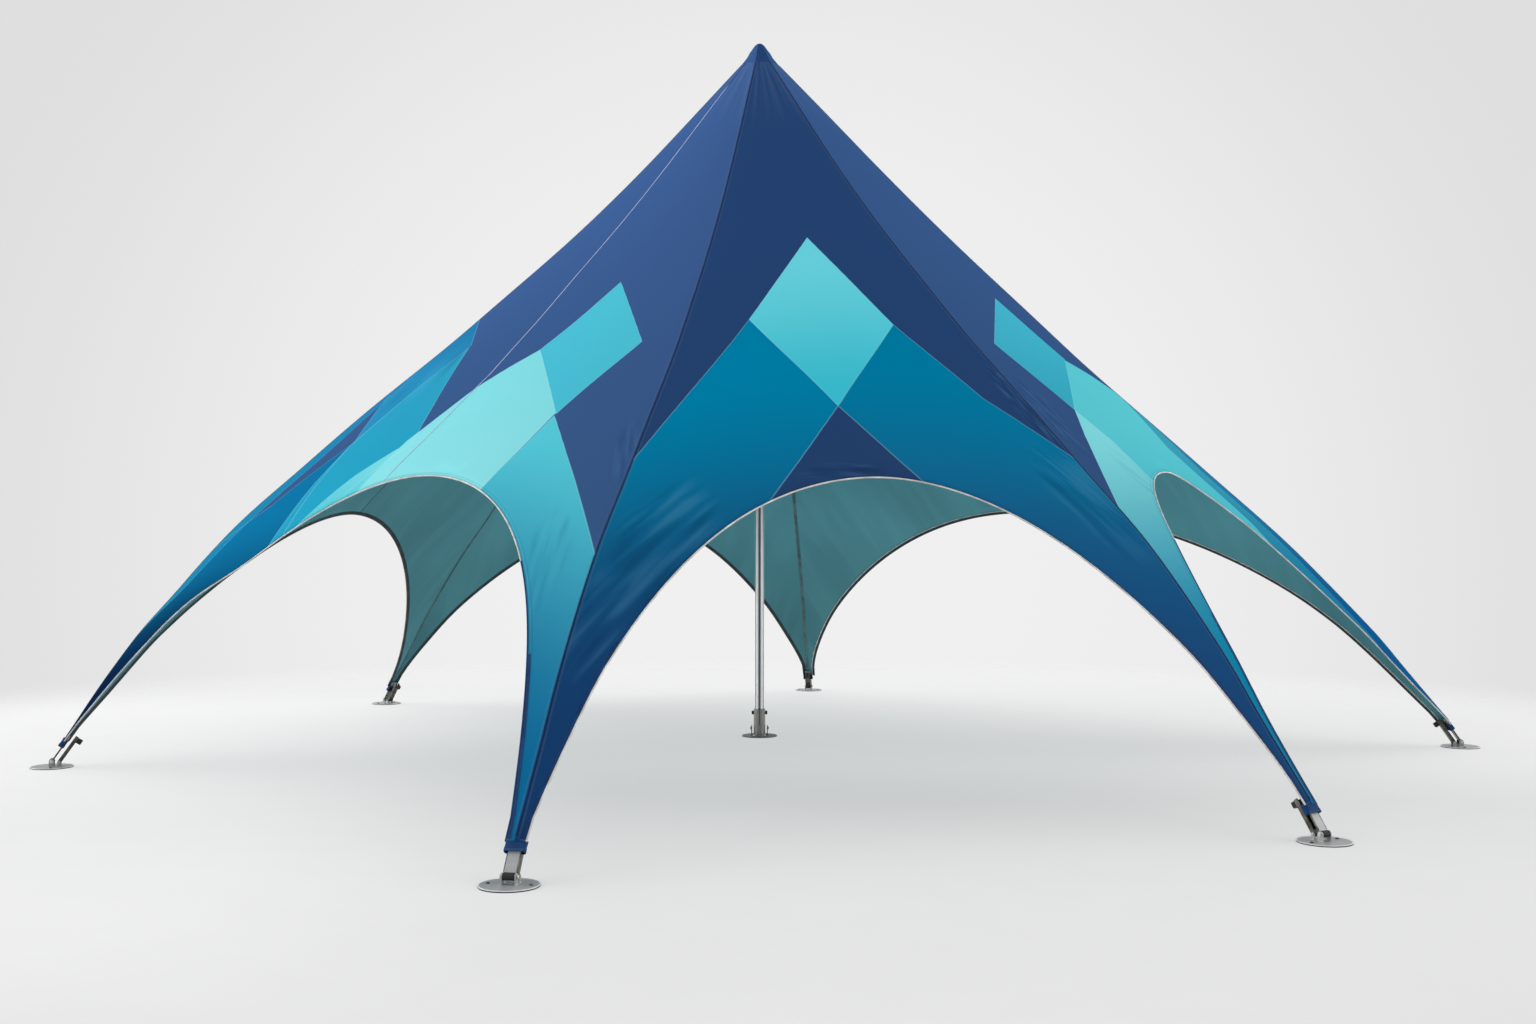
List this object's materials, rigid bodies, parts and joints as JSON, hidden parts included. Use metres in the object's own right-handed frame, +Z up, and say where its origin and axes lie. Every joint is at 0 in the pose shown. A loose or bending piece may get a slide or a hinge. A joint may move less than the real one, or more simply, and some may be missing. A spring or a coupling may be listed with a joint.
{
  "type": "star tent",
  "caption": "Open star-shaped tent: a taut printed canopy hung from one central mast, with legs drawn down to hinged fittings on round ground plates and an arch between each pair of legs.",
  "frame": {"origin": "middle of the underside of the mast's base plate, on the floor", "axes": "+Z up along the mast, -Y towards the front arch's side, +X to the right of someone looking in from the front"},
  "size_m": [10.3151, 9.6859, 5.539],
  "materials": {
    "navy_fabric": "matt coated polyester, navy outside and grey-teal inside",
    "blue_fabric": "matt coated polyester, blue bands on navy outside and grey-teal inside",
    "cyan_fabric": "matt coated polyester, cyan bands on navy outside and grey-teal inside",
    "brushed_steel": "brushed",
    "dark_steel": "dark zinc grey, satin",
    "mast_aluminium": "satin anodised",
    "black_plastic": "matt black"
  },
  "bodies": {
    "tent": {"front_panel_gore_at_front_left_leg": "blue_fabric", "front_panel_gore_at_front_right_leg": "blue_fabric", "front_right_panel_gore_at_front_right_leg": "cyan_fabric", "front_right_panel_gore_at_right_leg": "cyan_fabric", "rear_right_panel_gore_at_right_leg": "navy_fabric", "rear_right_panel_gore_at_rear_leg": "navy_fabric", "rear_panel_gore_at_rear_leg": "navy_fabric", "rear_panel_gore_at_rear_left_leg": "navy_fabric", "rear_left_panel_gore_at_rear_left_leg": "navy_fabric", "rear_left_panel_gore_at_left_leg": "navy_fabric", "front_left_panel_gore_at_left_leg": "cyan_fabric", "front_left_panel_gore_at_front_left_leg": "cyan_fabric", "peak_cap": "navy_fabric", "front_left_foot_plate": "brushed_steel", "front_left_tongue": "brushed_steel", "front_left_cuff": "navy_fabric", "front_right_foot_plate": "brushed_steel", "front_right_tongue": "brushed_steel", "front_right_cuff": "navy_fabric", "right_foot_plate": "brushed_steel", "right_tongue": "brushed_steel", "right_cuff": "navy_fabric", "rear_foot_plate": "brushed_steel", "rear_tongue": "brushed_steel", "rear_cuff": "navy_fabric", "rear_left_foot_plate": "brushed_steel", "rear_left_tongue": "brushed_steel", "rear_left_cuff": "navy_fabric", "left_foot_plate": "brushed_steel", "left_tongue": "brushed_steel", "left_cuff": "navy_fabric", "mast_base_plate": "brushed_steel", "mast_socket": "brushed_steel", "mast_left_clamp_knob": "black_plastic", "mast_right_clamp_knob": "black_plastic", "mast_tube": "mast_aluminium", "mast_head": "dark_steel"},
    "front_left_lever": {"front_left_tension_lever": "dark_steel"},
    "front_right_lever": {"front_right_tension_lever": "dark_steel"},
    "right_lever": {"right_tension_lever": "dark_steel"},
    "rear_lever": {"rear_tension_lever": "dark_steel"},
    "rear_left_lever": {"rear_left_tension_lever": "dark_steel"},
    "left_lever": {"left_tension_lever": "dark_steel"}
  },
  "joints": [
    {"name": "front_left_lever_hinge", "type": "hinge", "parent": "tent", "child": "front_left_lever", "pos_m": [-1.05001, -5.35197, 0.0351], "axis": [-0.9813, 0.1925, 0], "range_deg": [0, 40]},
    {"name": "front_right_lever_hinge", "type": "hinge", "parent": "tent", "child": "front_right_lever", "pos_m": [2.8343, -4.36444, 0.0351], "axis": [-0.8387, -0.5446, 0], "range_deg": [0, 40]},
    {"name": "right_lever_hinge", "type": "hinge", "parent": "tent", "child": "right_lever", "pos_m": [5.21024, -0.67669, 0.0351], "axis": [-0.1288, -0.9917, 0], "range_deg": [0, 40]},
    {"name": "rear_lever_hinge", "type": "hinge", "parent": "tent", "child": "rear_lever", "pos_m": [0.4949, 3.97329, 0.0351], "axis": [0.9923, -0.1236, 0], "range_deg": [0, 40]},
    {"name": "rear_left_lever_hinge", "type": "hinge", "parent": "tent", "child": "rear_left_lever", "pos_m": [-3.58536, 2.55741, 0.0351], "axis": [0.5807, 0.8141, 0], "range_deg": [0, 40]},
    {"name": "left_lever_hinge", "type": "hinge", "parent": "tent", "child": "left_lever", "pos_m": [-4.74618, -1.73686, 0.0351], "axis": [-0.3437, 0.9391, 0], "range_deg": [0, 40]}
  ]
}
